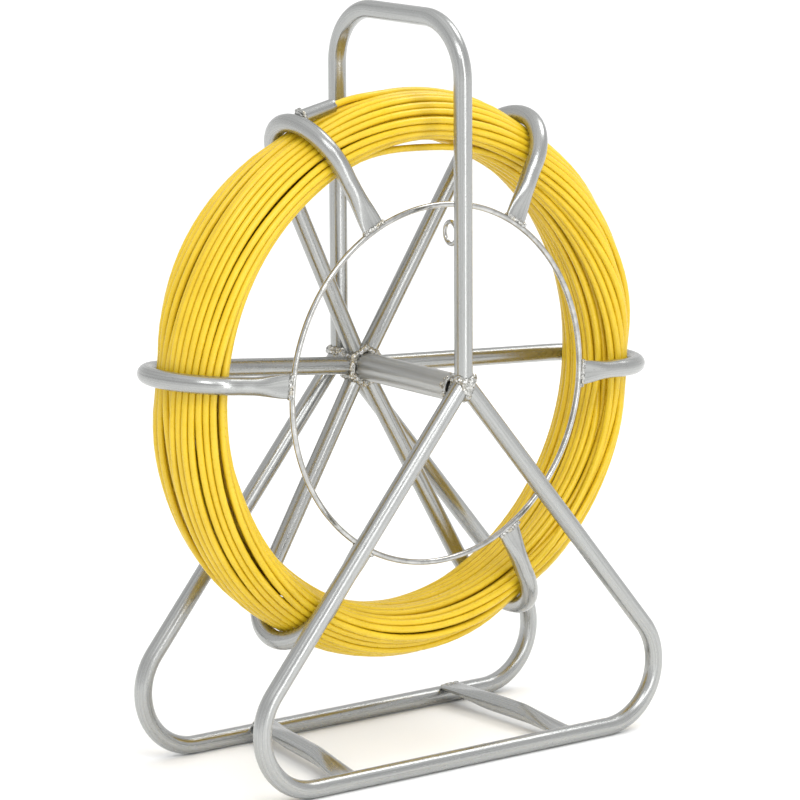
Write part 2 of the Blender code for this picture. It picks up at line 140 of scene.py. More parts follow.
def make_camera():
    """In front, to the left and a little above, with a long lens."""
    data = bpy.data.cameras.new("camera")
    data.sensor_width = 36
    data.lens = LENS
    data.clip_end = 60
    cam = bpy.data.objects.new("camera", data)
    azimuth, elevation, roll = CAMERA_TURN
    back = Vector((sin(azimuth) * cos(elevation), -cos(azimuth) * cos(elevation), sin(elevation)))
    level = Vector((cos(azimuth), sin(azimuth), 0))
    up = back.cross(level)
    right = level * cos(roll) + up * sin(roll)
    up = back.cross(right)
    turn = Matrix((right, up, back)).transposed()
    cam.matrix_world = Matrix.Translation(CAMERA_PLACE) @ turn.to_4x4()
    collection.objects.link(cam)
    bpy.context.scene.camera = cam


make_camera()


# ---- node materials -----------------------------------------------------------------
GRAIN = "grain"


class Nodes:
    """A short way to wire up one material's node tree."""

    def __init__(self, name, metallic=0.0, **constants):
        self.material = bpy.data.materials.new(name)
        self.material.use_nodes = True
        self.tree = self.material.node_tree
        self.shader = self.tree.nodes["Principled BSDF"]
        self.shader.inputs["Metallic"].default_value = metallic
        for key, value in constants.items():
            self.shader.inputs[key.replace("_", " ")].default_value = value
        self.coords = self.tree.nodes.new("ShaderNodeTexCoord").outputs["Object"]

    def node(self, kind, **settings):
        n = self.tree.nodes.new(kind)
        for key, value in settings.items():
            setattr(n, key, value)
        return n

    def join(self, source, target):
        self.tree.links.new(source, target)

    def stretched(self, scale, vector=None):
        m = self.node("ShaderNodeMapping")
        m.inputs["Scale"].default_value = scale
        self.join(vector or self.coords, m.inputs["Vector"])
        return m.outputs["Vector"]

    def grain(self):
        """Place on a tube: two coordinates round its unit circle, then metres along it."""
        return self.node("ShaderNodeAttribute", attribute_name=GRAIN).outputs["Vector"]

    def noise(self, scale, detail=2.0, rough=0.5, vector=None, warp=0.0):
        n = self.node("ShaderNodeTexNoise")
        n.inputs["Scale"].default_value = scale
        n.inputs["Detail"].default_value = detail
        n.inputs["Roughness"].default_value = rough
        n.inputs["Distortion"].default_value = warp
        self.join(vector or self.coords, n.inputs["Vector"])
        return n.outputs["Fac"]

    def ramp(self, value, stops):
        r = self.node("ShaderNodeValToRGB")
        elements = r.color_ramp.elements
        while len(elements) < len(stops):
            elements.new(0.5)
        for e, (place, colour) in zip(elements, stops):
            e.position = place
            e.color = (*colour, 1)
        self.join(value, r.inputs["Fac"])
        return r.outputs["Color"]

    def range(self, value, low, high, start=0.3, end=0.7):
        m = self.node("ShaderNodeMapRange")
        limits = {"From Min": start, "From Max": end, "To Min": low, "To Max": high}
        for key, number in limits.items():
            m.inputs[key].default_value = number
        self.join(value, m.inputs["Value"])
        return m.outputs["Result"]

    def mix(self, factor, a, b):
        """Colour a where factor is 0 and b where it is 1."""
        m = self.node("ShaderNodeMix", data_type='RGBA')
        for value, socket in ((factor, m.inputs[0]), (a, m.inputs[6]), (b, m.inputs[7])):
            if isinstance(value, tuple):
                socket.default_value = (*value, 1)
            else:
                self.join(value, socket)
        return m.outputs[2]

    def math(self, operation, a, b):
        m = self.node("ShaderNodeMath", operation=operation)
        for value, socket in ((a, m.inputs[0]), (b, m.inputs[1])):
            if isinstance(value, (int, float)):
                socket.default_value = value
            else:
                self.join(value, socket)
        return m.outputs[0]

    def bump(self, height, strength, distance, under=None):
        b = self.node("ShaderNodeBump")
        b.inputs["Strength"].default_value = strength
        b.inputs["Distance"].default_value = distance
        self.join(height, b.inputs["Height"])
        if under is not None:
            self.join(under, b.inputs["Normal"])
        return b.outputs["Normal"]

    def finish(self, colour=None, roughness=None, normal=None):
        for value, key in ((colour, "Base Color"), (roughness, "Roughness"), (normal, "Normal")):
            if value is not None:
                self.join(value, self.shader.inputs[key])
        return self.material


def silver_paint(name, dark, light, rough_low, rough_high):
    """Thin aluminium paint over drawn steel tube: lines along the tube show through it, with
    fine flake and a few dark specks."""
    m = Nodes(name, metallic=0.92)
    lines = m.noise(1.0, 3, 0.6, vector=m.stretched((8, 8, 5), m.grain()))
    bands = m.noise(1.0, 2, 0.5, vector=m.stretched((2.4, 2.4, 2), m.grain()))
    cloud = m.noise(60, 3, 0.5)
    flake = m.noise(1700, 2, 0.7)
    base = m.ramp(lines, ((0.30, dark), (0.70, light)))
    base = m.mix(m.range(bands, 0.0, 0.45, 0.40, 0.66), base, light)
    base = m.mix(m.range(flake, 0.0, 0.22, 0.40, 0.75), base, (0.62, 0.625, 0.63))
    speck = m.noise(460, 1, 0.4)
    base = m.mix(m.range(speck, 0.0, 0.45, 0.76, 0.82), base, (0.09, 0.09, 0.08))
    rough = m.math('ADD', m.range(bands, rough_low, rough_high), m.range(cloud, -0.03, 0.03))
    normal = m.bump(lines, 0.20, 0.0005)
    normal = m.bump(bands, 0.05, 0.0010, normal)
    normal = m.bump(flake, 0.12, 0.00012, normal)
    return m.finish(base, rough, normal)


def mill_steel(name):
    """Drawn tube left as it came, with fine lines along it."""
    m = Nodes(name, metallic=0.95)
    lines = m.noise(1.0, 4, 0.6, vector=m.stretched((900, 14, 900)))
    broad = m.noise(1.0, 3, 0.5, vector=m.stretched((230, 7, 230)))
    base = m.ramp(broad, ((0.3, (0.33, 0.333, 0.327)), (0.7, (0.51, 0.515, 0.505))))
    base = m.mix(m.range(lines, 0.0, 0.30), base, (0.56, 0.565, 0.555))
    rough = m.range(lines, 0.28, 0.42)
    return m.finish(base, rough, m.bump(lines, 0.25, 0.00018))


def bright_wire(name):
    """Zinc-bright wire with drawn lines and light tarnish."""
    m = Nodes(name, metallic=1.0)
    tarnish = m.noise(130, 3, 0.6)
    base = m.ramp(tarnish, ((0.35, (0.38, 0.38, 0.365)), (0.65, (0.56, 0.56, 0.55))))
    rough = m.range(tarnish, 0.24, 0.14)
    normal = m.bump(m.noise(700, 2, 0.6), 0.10, 0.0002)
    return m.finish(base, rough, normal)


def weld_metal(name):
    """Fused metal: painted shade darkens the hollows of its lumps and a painted highlight lightens
    their crests, with a straw-coloured heat tint.
    """
    m = Nodes(name, metallic=1.0)
    lump = m.noise(520, 4, 0.65)
    heat = m.noise(150, 3, 0.5, warp=0.6)
    # painted shade and painted highlight: the lump noise that raises the bump below also sets the
    # colour, near black in its hollows and light on its crests
    base = m.ramp(lump, (
        (0.30, (0.07, 0.07, 0.06)),
        (0.46, (0.40, 0.40, 0.38)),
        (0.68, (0.72, 0.72, 0.71)),
    ))
    base = m.mix(m.range(heat, 0.0, 0.45, 0.56, 0.72), base, (0.44, 0.36, 0.20))
    cell = m.node("ShaderNodeTexVoronoi", feature='SMOOTH_F1')
    cell.inputs["Scale"].default_value = 620
    m.join(m.coords, cell.inputs["Vector"])
    rough = m.range(lump, 0.30, 0.12)
    normal = m.bump(cell.outputs["Distance"], 0.45, 0.0006)
    normal = m.bump(lump, 0.5, 0.0006, normal)
    return m.finish(base, rough, normal)


def around_axis(m):
    """Texture coordinates that follow the coil: distance from the axis, across, along."""
    split = m.node("ShaderNodeSeparateXYZ")
    m.join(m.coords, split.inputs[0])
    x, y, z = split.outputs
    z = m.math('SUBTRACT', z, AXIS_Z)
    radius = m.math('SQRT', m.math('ADD', m.math('MULTIPLY', x, x), m.math('MULTIPLY', z, z)), 0.0)
    angle = m.math('ARCTAN2', z, x)
    join = m.node("ShaderNodeCombineXYZ")
    for value, socket in zip((radius, y, angle), join.inputs):
        m.join(value, socket)
    return join.outputs[0]


def yellow_sheath(name):
    """Extruded plastic sheath: an even yellow with faint draw lines and rubbed places."""
    m = Nodes(name, Specular_IOR_Level=0.45, Coat_Weight=0.08, Coat_Roughness=0.22)
    lines = m.noise(1.0, 2, 0.5, vector=m.stretched((900, 900, 9), around_axis(m)))
    cloud = m.noise(34, 3, 0.6)
    rub = m.noise(240, 3, 0.7, warp=0.5)
    base = m.ramp(cloud, ((0.3, (0.680, 0.462, 0.014)), (0.7, (0.765, 0.535, 0.024))))
    base = m.mix(m.range(lines, 0.0, 0.16), base, (0.62, 0.41, 0.014))
    base = m.mix(m.range(rub, 0.0, 0.20, 0.62, 0.80), base, (0.84, 0.66, 0.15))
    rough = m.math('ADD', m.range(rub, 0.24, 0.35), m.range(lines, -0.02, 0.03))
    normal = m.bump(lines, 0.06, 0.0002)
    normal = m.bump(m.noise(1300, 2, 0.6), 0.03, 0.00012, normal)
    return m.finish(base, rough, normal)


frame_paint = silver_paint("frame_paint", (0.29, 0.296, 0.29), (0.46, 0.468, 0.462), 0.20, 0.31)
reel_paint = silver_paint("reel_paint", (0.28, 0.285, 0.277), (0.44, 0.447, 0.44), 0.20, 0.31)
hub_steel = mill_steel("hub_steel")
wire_bright = bright_wire("wire_bright")
weld_bright = weld_metal("weld_bright")
sheath = yellow_sheath("sheath")


# ---- mesh helpers -------------------------------------------------------------------
def smoothstep(f):
    return f * f * (3 - 2 * f)


def place(name, mesh, material, body, *nodes):
    """Show mesh as a piece of that body, in place of those CAD nodes."""
    mesh.materials.append(material)
    piece = bpy.data.objects.new(name, mesh)
    collection.objects.link(piece)
    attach(piece, body)
    if nodes:
        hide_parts(*nodes)


def to_mesh(name, bm, crease=None):
    bmesh.ops.recalc_face_normals(bm, faces=bm.faces)
    mesh = bpy.data.meshes.new(name)
    bm.to_mesh(mesh)
    bm.free()
    mesh.shade_smooth()
    if crease is not None:
        mesh.set_sharp_from_angle(angle=radians(crease))
    return mesh


def arc(centre, radius, a0, a1, steps):
    """Flat arc as (u, v) pairs, angles in radians."""
    return [
        (centre[0] + radius * cos(a0 + (a1 - a0) * i / steps),
         centre[1] + radius * sin(a0 + (a1 - a0) * i / steps))
        for i in range(steps + 1)
    ]


def straight(a, b, steps):
    """Points from a to b, without b."""
    return [tuple(p + (q - p) * i / steps for p, q in zip(a, b)) for i in range(steps)]


def round_section(radius, sides):
    turns = [2 * pi * i / sides for i in range(sides)]
    return [(radius * cos(a), radius * sin(a)) for a in turns]


def crushed_section(share, wide, thick, groove, sides):
    """Section of a tube that is crushed part of the way, from round (0) to flat (1), with a
    crease down the middle of both faces."""
    half_wide = TUBE_R + (wide / 2 - TUBE_R) * share
    half_thick = TUBE_R + (thick / 2 - TUBE_R) * share
    power = 2 / (2 + 2 * share ** 2)
    points = []
    for i in range(sides):
        t = 2 * pi * (i + 0.5) / sides
        c, s = cos(t), sin(t)
        x = half_wide * abs(c) ** power * (1 if c > 0 else -1)
        y = half_thick * abs(s) ** power * (1 if s > 0 else -1)
        crease = groove * share * np.exp(-(x / (half_wide * 0.30)) ** 2)
        points.append((x, y - crease * (1 if s > 0 else -1)))
    return points


def bridge(bm, ring, following):
    """Join two rings of the same size with a band of faces."""
    for k in range(len(ring)):
        m = (k + 1) % len(ring)
        bm.faces.new((ring[k], ring[m], following[m], following[k]))


def open_end(bm, ring, inward, wide_axis, thick_axis, slit):
    """Close a crushed tube's end round the pinched bore that is left open in it; slit is the
    bore's (half width, half thickness, depth)."""
    wide, thick, deep = slit
    centre = sum((v.co for v in ring), Vector()) / len(ring)
    rim = []
    foot = []
    for v in ring:
        a = (v.co - centre).dot(wide_axis)
        b = (v.co - centre).dot(thick_axis)
        reach = hypot(a / wide, b / thick)
        p = centre + (wide_axis * a + thick_axis * b) / reach
        rim.append(bm.verts.new(p, v))
        foot.append(bm.verts.new(p + inward * deep, v))
    bridge(bm, ring, rim)
    bridge(bm, rim, foot)
    bm.faces.new(foot)


def mark_grain(ring, layer, distance):
    for k, v in enumerate(ring):
        a = 2 * pi * k / len(ring)
        v[layer] = (cos(a), sin(a), distance)


def sweep(bm, path, normal, sections, closed=False, slit=None):
    """Sweep sections along a flat path.  normal is the path's plane normal; a section's
    first axis lies along it and its second in the plane.  slit opens the last end."""
    n = Vector(normal).normalized()
    points = [Vector(p) for p in path]
    count = len(points)
    grain = bm.verts.layers.float_vector.new(GRAIN)
    distance = 0.0
    rings = []
    for i, p in enumerate(points):
        before = points[i - 1] if closed or i > 0 else p
        after = points[(i + 1) % count] if closed or i < count - 1 else p
        side = (after - before).normalized().cross(n)
        rings.append([bm.verts.new(p + n * a + side * b) for a, b in sections[i]])
        distance += (p - before).length if i > 0 else 0.0
        mark_grain(rings[-1], grain, distance)
    for ring, following in zip(rings, rings[1:]):
        bridge(bm, ring, following)
    if closed:
        bridge(bm, rings[-1], rings[0])
        return rings
    bm.faces.new(rings[0])
    if slit is None:
        bm.faces.new(rings[-1])
    else:
        inward = (points[-2] - points[-1]).normalized()
        open_end(bm, rings[-1], inward, n, inward.cross(n), slit)
    return rings


def lathe(name, profile, steps, closed=True, crease=35):
    """Solid of revolution about the axle's own line; profile is (r, y)."""
    bm = bmesh.new()
    rings = []
    for i in range(steps):
        a = 2 * pi * i / steps
        rings.append([bm.verts.new((r * cos(a), y, AXIS_Z + r * sin(a))) for r, y in profile])
    last = len(profile) if closed else len(profile) - 1
    for i in range(steps):
        p, q = rings[i], rings[(i + 1) % steps]
        for k in range(last):
            m = (k + 1) % len(profile)
            bm.faces.new((p[k], p[m], q[m], q[k]))
    return to_mesh(name, bm, crease)


# ---- the rodding --------------------------------------------------------------------
def arm_frame(angle):
    a = radians(angle)
    return Vector((cos(a), 0, sin(a))), Vector((-sin(a), 0, cos(a)))


def socket_line():
    """Butt end of the rod end socket, against its arm, and its direction to the mouth."""
    radial, tangent = arm_frame(ARM_ANGLES["upper_left"])
    stand_off = TUBE_R + GAP + SOCKET_R * SOCKET_LEAN
    butt = radial * SOCKET_AXIS_R - tangent * stand_off + Vector((0, SOCKET_Y, AXIS_Z))
    return butt, (-tangent - radial * SOCKET_LEAN).normalized()


def tail_route():
    """The rodding's free end, from inside the socket to where it joins the coil."""
    butt, lean = socket_line()
    mouth = butt + lean * SOCKET_LENGTH
    bend_start = mouth + lean * TAIL_STRAIGHT
    points = [mouth - lean * ROD_IN_SOCKET, mouth - lean * ROD_IN_SOCKET / 2, mouth, bend_start]
    start_angle = atan2(bend_start.z - AXIS_Z, bend_start.x)
    start_r = hypot(bend_start.x, bend_start.z - AXIS_Z)
    end_r = COIL_TOP_R + GAP + ROD_R
    end_angle = radians(TAIL_END_ANGLE)
    meets = (start_angle - radians(TAIL_MEETS_COIL_ANGLE)) / (start_angle - end_angle)
    steps = 24
    for i in range(1, steps + 1):
        f = i / steps
        a = start_angle + (end_angle - start_angle) * f
        r = start_r + (end_r - start_r) * smoothstep(min(1.0, f / meets))
        y = SOCKET_Y + (TAIL_END_Y - SOCKET_Y) * smoothstep(f)
        points.append(Vector((r * cos(a), y, AXIS_Z + r * sin(a))))
    return points


STATIONS = 120              # points in one turn
SKIN_TURNS = 29             # turns that make the coil's skin
TURNS = 43
COIL_R = 0.2222             # middle of the coil's section, from the axis
COIL_Y = 0.0030
COIL_HALF_R = 0.0212        # reach of the strands' centres, either way
COIL_HALF_Y = 0.0382
FREE_REACH = BEND_R - TUBE_R - ROD_R - GAP     # of a strand's centre inside an arm's bend
ARM_HOLDS = 2               # degrees either side of an arm
ARM_LETS_GO = 11            # degrees over which the turns come free of it
BULGE = 0.0048              # extra reach between the arms
SKIN_COVER = 0.985          # of the section's outline
CORE_DEPTH = 0.0070         # of the inner turns, under the skin
PITCH = 2 * ROD_R * 1.01
TWIST = 0.034               # shift round the section, along its outline
TWIST_START = 72            # degrees round the axis
TWIST_SPAN = 88
SLUMP = 0.23                # most extra reach on the left
TIGHT_BELOW, TIGHT_ABOVE = 0.26, 0.34    # most reach lost at the lower right and at the top
RELAX_STEPS = 170
EVEN_OUT = 0.35             # share made good in a step: of a turn's unevenness,
COME_BACK = 0.04            # of its distance from where it was laid,
PUSH_APART = 0.45           # of its overlap with another turn
PUSH_OFF_TAIL = 0.8         # and of its overlap with the tail
MOST_PUSH = 0.0010
SLACK = (                   # angle, half width, direction out and back, distance
    (85, 24, (-0.98, -0.20), 0.0082),
    (146, 24, (0.80, 0.60), 0.0028),
    (262, 22, (0.75, 0.66), 0.0016),
    (12, 20, (0.80, -0.60), 0.0014),
)


def wander(rng, count, knots, size):
    """Smooth random wandering along the whole rod, with that many knots."""
    values = rng.normal(0, size, knots + 1)
    at = np.linspace(0, knots, count)
    low = np.minimum(at.astype(int), knots - 1)
    return values[low] + (values[low + 1] - values[low]) * smoothstep(at - low)


def bump(x, centre, half_width):
    """A smooth hill, 1 at centre and 0 beyond half_width on either side."""
    return smoothstep(np.clip(1 - np.abs((x - centre + 180) % 360 - 180) / half_width, 0, 1))


def coil_reach(degrees, phi):
    """How far from the section's middle a strand's centre may lie, at that angle round the
    axis and in that direction across the section (0 is outward, 90 degrees is rearward)."""
    out, back = np.cos(phi), np.sin(phi)
    free = 1 / np.sqrt((out / COIL_HALF_R) ** 2 + (back / COIL_HALF_Y) ** 2)
    # inside an arm's half round bend
    du, dv = COIL_R - BEND_START_R, COIL_Y - BEND_Y
    along = du * out + dv * back
    bend = -along + np.sqrt(along ** 2 - du ** 2 - dv ** 2 + FREE_REACH ** 2)
    arms = np.array([a % 360 for a in ARM_ANGLES.values()])
    off = np.abs((degrees[..., None] - arms + 180) % 360 - 180).min(-1)
    loose = smoothstep(np.clip((off - ARM_HOLDS) / ARM_LETS_GO, 0, 1))
    reach = np.minimum(free, bend) * (1 - loose) + np.minimum(free, bend + BULGE) * loose
    # the turns have slumped inward and forward on the left, and lie tight at the lower right
    # and at the top
    inward_and_forward = np.clip(-out * 0.85 - back * 0.52, 0, 1) ** 2
    slump = np.minimum(1, 1.5 * bump(degrees, 162, 100)) * inward_and_forward
    tight = TIGHT_BELOW * bump(degrees, 288, 52) + TIGHT_ABOVE * bump(degrees, 84, 22)
    tight = tight * np.clip(-out, 0, 1) ** 2
    return reach * (1 + SLUMP * slump - tight)


def coil_route(tail):
    """Centre line of the turns as an array of (x, y, z), clockwise from the tail's end.
    Each turn is laid beside the last one and wanders a little.  Then the turns are pushed
    clear of each other and back inside the coil's outline."""
    rng = np.random.default_rng(23)
    count = TURNS * STATIONS
    s = np.arange(count) / STATIONS
    degrees = (TAIL_END_ANGLE - 360 * (np.arange(count) % STATIONS) / STATIONS) % 360

    # even steps round the outline, from its outermost point
    around = np.linspace(0, 2 * pi, 721)
    radius = 1 / np.sqrt((np.cos(around) / COIL_HALF_R) ** 2 + (np.sin(around) / COIL_HALF_Y) ** 2)
    steps = np.hypot(np.diff(radius * np.cos(around)), np.diff(radius * np.sin(around)))
    travelled = np.concatenate([[0], np.cumsum(steps)])
    perimeter = travelled[-1]

    skin = s < SKIN_TURNS
    turn = np.where(skin, s / SKIN_TURNS, (s - SKIN_TURNS) / (TURNS - SKIN_TURNS))
    drift = wander(rng, count, TURNS * 2, 0.0026) + wander(rng, count, TURNS * 5, 0.0014)
    depth = np.clip(wander(rng, count, TURNS * 3, 0.0022), -0.0003, None)
    depth = depth + np.where(skin, 0.0, CORE_DEPTH)
    # the whole bundle twists forward and outward down its right side, and slowly back
    past = (TWIST_START - degrees) % 360
    twist = smoothstep(np.clip(past / TWIST_SPAN, 0, 1))
    twist -= smoothstep(np.clip((past - TWIST_SPAN) / (360 - TWIST_SPAN), 0, 1))
    place_on = (-turn * perimeter * SKIN_COVER + drift + TWIST * (twist - twist[0])) % perimeter
    phi = np.interp(place_on, travelled, around)
    reach = coil_reach(degrees, phi) - depth
    base = np.stack([reach * np.cos(phi), reach * np.sin(phi)], 1)

    # the first stretch comes down from the tail's end
    hold = smoothstep(np.clip(1 - np.arange(count) / (STATIONS * 0.09), 0, 1))[:, None]
    end = tail[-1] - AXIS
    start = np.array([hypot(end.x, end.z) - COIL_R, end.y - COIL_Y])
    base = base * (1 - hold) + start * hold
    free = 1 - np.clip(hold * 4, 0, 1)

    # where the tail lies over each station
    over = np.full((STATIONS, 2), 9.0)
    for p in tail:
        a = np.degrees(atan2(p.z - AXIS_Z, p.x))
        station = int(round((TAIL_END_ANGLE - a) % 360 / 360 * STATIONS)) % STATIONS
        over[station] = (hypot(p.x, p.z - AXIS_Z) - COIL_R, p.y - COIL_Y)

    line = base.copy()
    for _ in range(RELAX_STEPS):
        line[1:-1] += ((line[:-2] + line[2:]) / 2 - line[1:-1]) * EVEN_OUT * free[1:-1]
        line += (base - line) * COME_BACK * free
        for _ in range(2):
            at = line.reshape(TURNS, STATIONS, 2)
            gap = at[:, None] - at[None]
            far = np.sqrt((gap ** 2).sum(-1)) + 1e-9
            push = np.clip(PITCH - far, 0, None)
            push[np.arange(TURNS), np.arange(TURNS)] = 0
            move = (gap / far[..., None] * push[..., None]).sum(1) * PUSH_APART
            gap = at - over[None]
            far = np.sqrt((gap ** 2).sum(-1)) + 1e-9
            move += gap / far[..., None] * np.clip(PITCH - far, 0, None)[..., None] * PUSH_OFF_TAIL
            line += np.clip(move.reshape(count, 2), -MOST_PUSH, MOST_PUSH) * free
        phi = np.arctan2(line[:, 1], line[:, 0])
        reach = coil_reach(degrees, phi)
        out = np.hypot(line[:, 0], line[:, 1])
        shrink = np.where(out > reach, reach / np.maximum(out, 1e-9), 1.0)[:, None]
        line *= 1 + (shrink - 1) * free

    loosen(line, degrees)
    r = COIL_R + line[:, 0]
    turned = np.radians(degrees)
    return np.stack([r * np.cos(turned), COIL_Y + line[:, 1], AXIS_Z + r * np.sin(turned)], 1)


def loosen(line, degrees):
    """A few turns hang away from the bundle for part of their way round: the strand that is
    farthest in the given direction at that angle moves by that much."""
    for centre, half_width, (out, back), amount in SLACK:
        station = int(round((TAIL_END_ANGLE - centre) % 360 / 360 * STATIONS)) % STATIONS
        at = line.reshape(TURNS, STATIONS, 2)[1:-1, station]
        which = 1 + int(np.argmax(at @ np.array([out, back])))
        near = np.abs(np.arange(len(line)) - (which * STATIONS + station)) < STATIONS / 2
        shift = bump(degrees, centre, half_width) * near * amount
        line += shift[:, None] * np.array([out, back])


def make_rod():
    tail = tail_route()
    turns = coil_route(tail)
    points = [tuple(p) for p in tail[:-1]] + [tuple(p) for p in turns]
    length = 0.0
    kept = [points[0]]
    for a, b in zip(points, points[1:]):
        length += (Vector(b) - Vector(a)).length
        if length > ROD_LENGTH:
            break
        kept.append(b)
    curve = bpy.data.curves.new("rodding", 'CURVE')
    curve.dimensions = '3D'
    curve.bevel_depth = ROD_R
    curve.bevel_resolution = 3
    curve.use_fill_caps = True
    spline = curve.splines.new('POLY')
    spline.points.add(len(kept) - 1)
    spline.points.foreach_set("co", [c for p in kept for c in (*p, 1)])
    spline.use_smooth = True
    curve.materials.append(sheath)
    piece = bpy.data.objects.new("rodding", curve)
    collection.objects.link(piece)
    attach(piece, "reel")
    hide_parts("rod_coil", "rod_tail")


make_rod()


# ---- the stand ----------------------------------------------------------------------
SIDES = 40                  # round a tube's section
BEND_STEPS = 26             # along a bend of the stand


def frame_path():
    """Centre line of a side frame as (x, z): apex, left leg, bottom bar, right leg, apex."""
    corner_x = -(APEX_Z - TUBE_R) * LEG_SPREAD
    reach = FRAME_BEND_R * tan((pi - LEG_LEAN) / 2)
    centre = (corner_x + reach, TUBE_R + FRAME_BEND_R)
    bend = arc(centre, FRAME_BEND_R, pi / 2 + LEG_LEAN, 3 * pi / 2, BEND_STEPS)
    leg = straight((0, APEX_Z), bend[0], 14)
    left = leg + bend
    right = [(-x, z) for x, z in reversed(left)]
    return left + straight(left[-1], right[0], 20)[1:] + right


def make_frame(name, y, node):
    bm = bmesh.new()
    path = [(x, y, z) for x, z in frame_path()]
    rings = sweep(bm, path, (0, 1, 0), [round_section(TUBE_R, SIDES)] * len(path))
    for ring, inner in ((rings[0], rings[1]), (rings[-1], rings[-2])):
        for v, w in zip(ring, inner):
            along = v.co - w.co
            v.co = w.co - along * (w.co.x / along.x)
    place(name, to_mesh(name, bm, 40), frame_paint, "stand", node)


def make_handle():
    top = HANDLE_Z - HANDLE_BEND_R
    c = FRAME_Y - HANDLE_BEND_R
    flat = straight((-FRAME_Y, HANDLE_FOOT_Z), (-FRAME_Y, top), 24)
    flat += arc((-c, top), HANDLE_BEND_R, pi, pi / 2, BEND_STEPS)
    flat += straight((-c, HANDLE_Z), (c, HANDLE_Z), 10)[1:]
    flat += arc((c, top), HANDLE_BEND_R, pi / 2, 0, BEND_STEPS)
    flat += straight((FRAME_Y, top), (FRAME_Y, HANDLE_FOOT_Z), 24)[1:] + [(FRAME_Y, HANDLE_FOOT_Z)]
    path = [(0, y, z) for y, z in flat]
    bm = bmesh.new()
    sweep(bm, path, (1, 0, 0), [round_section(TUBE_R, SIDES)] * len(path))
    place("handle", to_mesh("handle", bm, 40), frame_paint, "stand", "carry_handle")


def make_crossbar(side):
    """Tube between the bottom bars, creased and crushed flat toward both tips."""
    front_x, rear_x = CROSSBAR_X[side]
    (front_y, front_z), (rear_y, rear_z) = CROSSBAR_FRONT, CROSSBAR_REAR
    a = Vector((front_x, front_y, 0))
    b = Vector((rear_x, rear_y, 0))
    along = (b - a).normalized()
    across = Vector((along.y, -along.x, 0))
    length = (b - a).length
    steps = 72
    bm = bmesh.new()
    grain = bm.verts.layers.float_vector.new(GRAIN)
    rings = []
    for i in range(steps + 1):
        d = length * i / steps
        tip_z = front_z if d < length / 2 else rear_z
        press = 1 - smoothstep(min(1.0, min(d, length - d) / CROSSBAR_CRUSH))
        section = crushed_section(press, CROSSBAR_WIDTH, CROSSBAR_THICK, 0.0006, SIDES)
        p = a + along * d + Vector((0, 0, CROSSBAR_Z + (tip_z - CROSSBAR_Z) * press))
        ring = [bm.verts.new(p + across * u + Vector((0, 0, w))) for u, w in section]
        if i in (0, steps):
            for v in ring:
                v.co += along * ((p.y - v.co.y) / along.y)
        mark_grain(ring, grain, d)
        rings.append(ring)
    for p, q in zip(rings, rings[1:]):
        bridge(bm, p, q)
    slit = (CROSSBAR_WIDTH * 0.40, 0.0006, 0.008)
    for ring, inward in ((rings[0], along), (rings[-1], -along)):
        open_end(bm, ring, inward, across, Vector((0, 0, 1)), slit)
    name = side + "_foot_bar"
    place(name, to_mesh(name, bm, 32), frame_paint, "stand", side + "_crossbar")


make_frame("front_frame", -FRAME_Y, "front_side_frame")
make_frame("rear_frame", FRAME_Y, "rear_side_frame")
make_handle()
make_crossbar("left")
make_crossbar("right")


def make_eye():
    reach = TUBE_R + GAP + EYE_R + EYE_WIRE_R
    out = Vector((sin(EYE_TURN), cos(EYE_TURN), 0))
    centre = Vector((0, -FRAME_Y, EYE_Z)) + out * reach
    up = Vector((0, 0, 1))
    steps = 64
    turns = [2 * pi * i / steps for i in range(steps)]
    path = [centre + (out * cos(a) + up * sin(a)) * EYE_R for a in turns]
    bm = bmesh.new()
    sweep(bm, path, out.cross(up), [round_section(EYE_WIRE_R, 20)] * steps, closed=True)
    place("eye", to_mesh("eye", bm), wire_bright, "stand", "guide_eye")


make_eye()


def make_pin():
    profile = [
        (0.0, -AXLE_HALF), (AXLE_R - CHAMFER, -AXLE_HALF), (AXLE_R, -AXLE_HALF + CHAMFER),
        (AXLE_R, AXLE_HALF - CHAMFER), (AXLE_R - CHAMFER, AXLE_HALF), (0.0, AXLE_HALF),
    ]
    place("pin", lathe("pin", profile, 64, closed=False), hub_steel, "stand", "axle")


make_pin()


# ---- the reel -----------------------------------------------------------------------
def make_hub():
    profile = [
        (HUB_BORE_R, -HUB_HALF + CHAMFER), (HUB_BORE_R + CHAMFER, -HUB_HALF),
        (HUB_R - CHAMFER, -HUB_HALF), (HUB_R, -HUB_HALF + CHAMFER),
        (HUB_R, HUB_HALF - CHAMFER), (HUB_R - CHAMFER, HUB_HALF),
        (HUB_BORE_R + CHAMFER, HUB_HALF), (HUB_BORE_R, HUB_HALF - CHAMFER),
    ]
    place("hub", lathe("hub", profile, 96), hub_steel, "reel", "hub_tube")


make_hub()


def make_arm(which, angle):
    """One arm: spoke behind, round the coil in a half circle, and a pressed blade in front."""
    radial, tangent = arm_frame(angle)
    tip = RING_R + RING_WIRE_R + GAP
    flat = straight((HUB_R + GAP, SPOKE_HUB_Y), (BEND_START_R, SPOKE_BEND_Y), 30)
    flat += arc((BEND_START_R, BEND_Y), BEND_R, pi / 2, -pi / 2, 48)
    flat += straight((BEND_START_R, ARM_FRONT_Y), (tip, BLADE_Y), 26)[1:] + [(tip, BLADE_Y)]
    path = []
    sections = []
    for r, y in flat:
        path.append(radial * r + Vector((0, y, AXIS_Z)))
        press = 0.0
        if y < 0:
            press = smoothstep(max(0.0, 1 - (r - tip) / BLADE_LENGTH))
        section = crushed_section(press, BLADE_WIDTH, BLADE_THICK, 0.0007, SIDES)
        if y > 0 and r < PINCH_END_R:
            width = 1 - PINCH + PINCH * (r - HUB_R) / (PINCH_END_R - HUB_R)
            section = [(u * width, v) for u, v in section]
        sections.append(section)
    bm = bmesh.new()
    sweep(bm, path, tangent, sections, slit=(BLADE_WIDTH * 0.40, 0.0006, 0.006))
    name = which + "_arm"
    place(name, to_mesh(name, bm, 38), reel_paint, "reel", "arm_" + which)


for which, angle in ARM_ANGLES.items():
    make_arm(which, angle)


